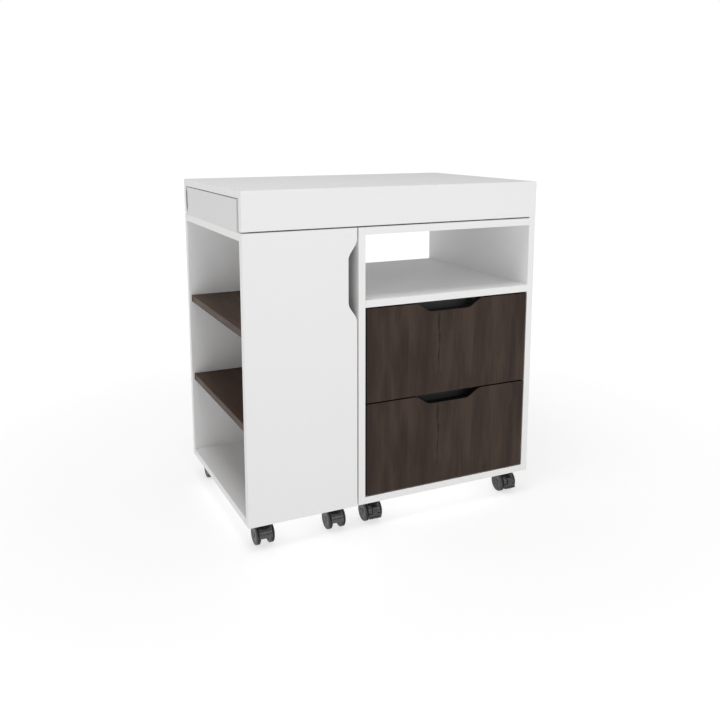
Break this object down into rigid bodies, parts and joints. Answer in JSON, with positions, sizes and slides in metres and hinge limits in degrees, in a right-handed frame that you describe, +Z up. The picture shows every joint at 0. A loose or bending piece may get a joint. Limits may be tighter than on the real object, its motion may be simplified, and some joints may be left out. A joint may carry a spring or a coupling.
{
  "type": "extendable rolling desk cabinet",
  "caption": "White rolling drawer pedestal with an open niche under a hollow worktop, from which a shelf tower on casters slides out with a second worktop.",
  "frame": {"origin": "centre of the object's footprint on the floor, tower pushed in", "axes": "+X to the right along the front, +Y to the back, +Z up"},
  "size_m": [0.705, 0.454, 0.758],
  "materials": {
    "white_board": "white melamine-faced board, matt, with white edge band",
    "walnut_board": "dark walnut melamine with vertical grain, satin",
    "brown_board": "dark brown melamine, satin",
    "slide_steel": "dark plated pressed steel",
    "pull_plastic": "black moulded plastic",
    "caster_plastic": "dark grey moulded nylon",
    "wheel_plastic": "dark grey moulded nylon tread"
  },
  "bodies": {
    "cabinet": {"top_panel": "white_board", "front_apron": "white_board", "rear_apron": "white_board", "cabinet_left_side": "white_board", "cabinet_right_side": "white_board", "cabinet_top": "white_board", "niche_shelf": "white_board", "cabinet_bottom": "white_board", "cabinet_back": "white_board", "lower_drawer_channel_left": "slide_steel", "lower_drawer_channel_right": "slide_steel", "upper_drawer_channel_left": "slide_steel", "upper_drawer_channel_right": "slide_steel", "desk_slide_channel_rear": "slide_steel", "desk_slide_channel_front": "slide_steel"},
    "tower": {"tower_front": "white_board", "tower_rear": "white_board", "tower_bottom": "white_board", "tower_top": "white_board", "tower_partition": "white_board", "tower_lower_shelf": "brown_board", "tower_upper_shelf": "brown_board", "desk_end_panel": "white_board", "desk_top": "white_board", "desk_front_rail": "white_board", "desk_rear_rail": "white_board", "desk_slide_runner_rear": "slide_steel", "desk_slide_runner_front": "slide_steel"},
    "lower_drawer": {"lower_drawer_front": "walnut_board", "lower_drawer_left_side": "white_board", "lower_drawer_right_side": "white_board", "lower_drawer_back": "white_board", "lower_drawer_bottom": "white_board", "lower_drawer_pull": "pull_plastic"},
    "upper_drawer": {"upper_drawer_front": "walnut_board", "upper_drawer_left_side": "white_board", "upper_drawer_right_side": "white_board", "upper_drawer_back": "white_board", "upper_drawer_bottom": "white_board", "upper_drawer_pull": "pull_plastic"},
    "tower_caster_front_left": {"tower_caster_front_left_hood": "caster_plastic"},
    "tower_caster_front_left_wheelset": {"tower_caster_front_left_wheels": "wheel_plastic"},
    "tower_caster_front_right": {"tower_caster_front_right_hood": "caster_plastic"},
    "tower_caster_front_right_wheelset": {"tower_caster_front_right_wheels": "wheel_plastic"},
    "tower_caster_rear_left": {"tower_caster_rear_left_hood": "caster_plastic"},
    "tower_caster_rear_left_wheelset": {"tower_caster_rear_left_wheels": "wheel_plastic"},
    "tower_caster_rear_right": {"tower_caster_rear_right_hood": "caster_plastic"},
    "tower_caster_rear_right_wheelset": {"tower_caster_rear_right_wheels": "wheel_plastic"},
    "cabinet_caster_front_left": {"cabinet_caster_front_left_hood": "caster_plastic"},
    "cabinet_caster_front_left_wheelset": {"cabinet_caster_front_left_wheels": "wheel_plastic"},
    "cabinet_caster_front_left_pedal": {"cabinet_caster_front_left_brake": "pull_plastic"},
    "cabinet_caster_front_right": {"cabinet_caster_front_right_hood": "caster_plastic"},
    "cabinet_caster_front_right_wheelset": {"cabinet_caster_front_right_wheels": "wheel_plastic"},
    "cabinet_caster_front_right_pedal": {"cabinet_caster_front_right_brake": "pull_plastic"},
    "cabinet_caster_rear_left": {"cabinet_caster_rear_left_hood": "caster_plastic"},
    "cabinet_caster_rear_left_wheelset": {"cabinet_caster_rear_left_wheels": "wheel_plastic"},
    "cabinet_caster_rear_right": {"cabinet_caster_rear_right_hood": "caster_plastic"},
    "cabinet_caster_rear_right_wheelset": {"cabinet_caster_rear_right_wheels": "wheel_plastic"}
  },
  "joints": [
    {"name": "tower_slide", "type": "slide", "parent": "cabinet", "child": "tower", "axis": [-1, 0, 0], "range_m": [0, 0.455]},
    {"name": "lower_drawer_slide", "type": "slide", "parent": "cabinet", "child": "lower_drawer", "axis": [0, -1, 0], "range_m": [0, 0.3]},
    {"name": "upper_drawer_slide", "type": "slide", "parent": "cabinet", "child": "upper_drawer", "axis": [0, -1, 0], "range_m": [0, 0.3]},
    {"name": "tower_caster_front_left_swivel", "type": "hinge", "parent": "tower", "child": "tower_caster_front_left", "pos_m": [-0.3095, -0.201, 0.056], "axis": [0, 0, 1], "continuous": true},
    {"name": "tower_caster_front_left_roll", "type": "hinge", "parent": "tower_caster_front_left", "child": "tower_caster_front_left_wheelset", "pos_m": [-0.3095, -0.189, 0.02286], "axis": [1, 0, 0], "continuous": true},
    {"name": "tower_caster_front_right_swivel", "type": "hinge", "parent": "tower", "child": "tower_caster_front_right", "pos_m": [-0.1435, -0.201, 0.056], "axis": [0, 0, 1], "continuous": true},
    {"name": "tower_caster_front_right_roll", "type": "hinge", "parent": "tower_caster_front_right", "child": "tower_caster_front_right_wheelset", "pos_m": [-0.1435, -0.189, 0.02286], "axis": [1, 0, 0], "continuous": true},
    {"name": "tower_caster_rear_left_swivel", "type": "hinge", "parent": "tower", "child": "tower_caster_rear_left", "pos_m": [-0.3095, 0.183, 0.056], "axis": [0, 0, 1], "continuous": true},
    {"name": "tower_caster_rear_left_roll", "type": "hinge", "parent": "tower_caster_rear_left", "child": "tower_caster_rear_left_wheelset", "pos_m": [-0.3095, 0.195, 0.02286], "axis": [1, 0, 0], "continuous": true},
    {"name": "tower_caster_rear_right_swivel", "type": "hinge", "parent": "tower", "child": "tower_caster_rear_right", "pos_m": [-0.1435, 0.183, 0.056], "axis": [0, 0, 1], "continuous": true},
    {"name": "tower_caster_rear_right_roll", "type": "hinge", "parent": "tower_caster_rear_right", "child": "tower_caster_rear_right_wheelset", "pos_m": [-0.1435, 0.195, 0.02286], "axis": [1, 0, 0], "continuous": true},
    {"name": "cabinet_caster_front_left_swivel", "type": "hinge", "parent": "cabinet", "child": "cabinet_caster_front_left", "pos_m": [-0.053, -0.201, 0.056], "axis": [0, 0, 1], "continuous": true},
    {"name": "cabinet_caster_front_left_roll", "type": "hinge", "parent": "cabinet_caster_front_left", "child": "cabinet_caster_front_left_wheelset", "pos_m": [-0.053, -0.189, 0.02286], "axis": [1, 0, 0], "continuous": true},
    {"name": "cabinet_caster_front_left_brake_release", "type": "hinge", "parent": "cabinet_caster_front_left", "child": "cabinet_caster_front_left_pedal", "pos_m": [-0.053, -0.20935, 0.03557], "axis": [-1, 0, 0], "range_deg": [0, 22]},
    {"name": "cabinet_caster_front_right_swivel", "type": "hinge", "parent": "cabinet", "child": "cabinet_caster_front_right", "pos_m": [0.3135, -0.201, 0.056], "axis": [0, 0, 1], "continuous": true},
    {"name": "cabinet_caster_front_right_roll", "type": "hinge", "parent": "cabinet_caster_front_right", "child": "cabinet_caster_front_right_wheelset", "pos_m": [0.3135, -0.189, 0.02286], "axis": [1, 0, 0], "continuous": true},
    {"name": "cabinet_caster_front_right_brake_release", "type": "hinge", "parent": "cabinet_caster_front_right", "child": "cabinet_caster_front_right_pedal", "pos_m": [0.3135, -0.20935, 0.03557], "axis": [-1, 0, 0], "range_deg": [0, 22]},
    {"name": "cabinet_caster_rear_left_swivel", "type": "hinge", "parent": "cabinet", "child": "cabinet_caster_rear_left", "pos_m": [-0.053, 0.183, 0.056], "axis": [0, 0, 1], "continuous": true},
    {"name": "cabinet_caster_rear_left_roll", "type": "hinge", "parent": "cabinet_caster_rear_left", "child": "cabinet_caster_rear_left_wheelset", "pos_m": [-0.053, 0.195, 0.02286], "axis": [1, 0, 0], "continuous": true},
    {"name": "cabinet_caster_rear_right_swivel", "type": "hinge", "parent": "cabinet", "child": "cabinet_caster_rear_right", "pos_m": [0.3135, 0.183, 0.056], "axis": [0, 0, 1], "continuous": true},
    {"name": "cabinet_caster_rear_right_roll", "type": "hinge", "parent": "cabinet_caster_rear_right", "child": "cabinet_caster_rear_right_wheelset", "pos_m": [0.3135, 0.195, 0.02286], "axis": [1, 0, 0], "continuous": true}
  ]
}
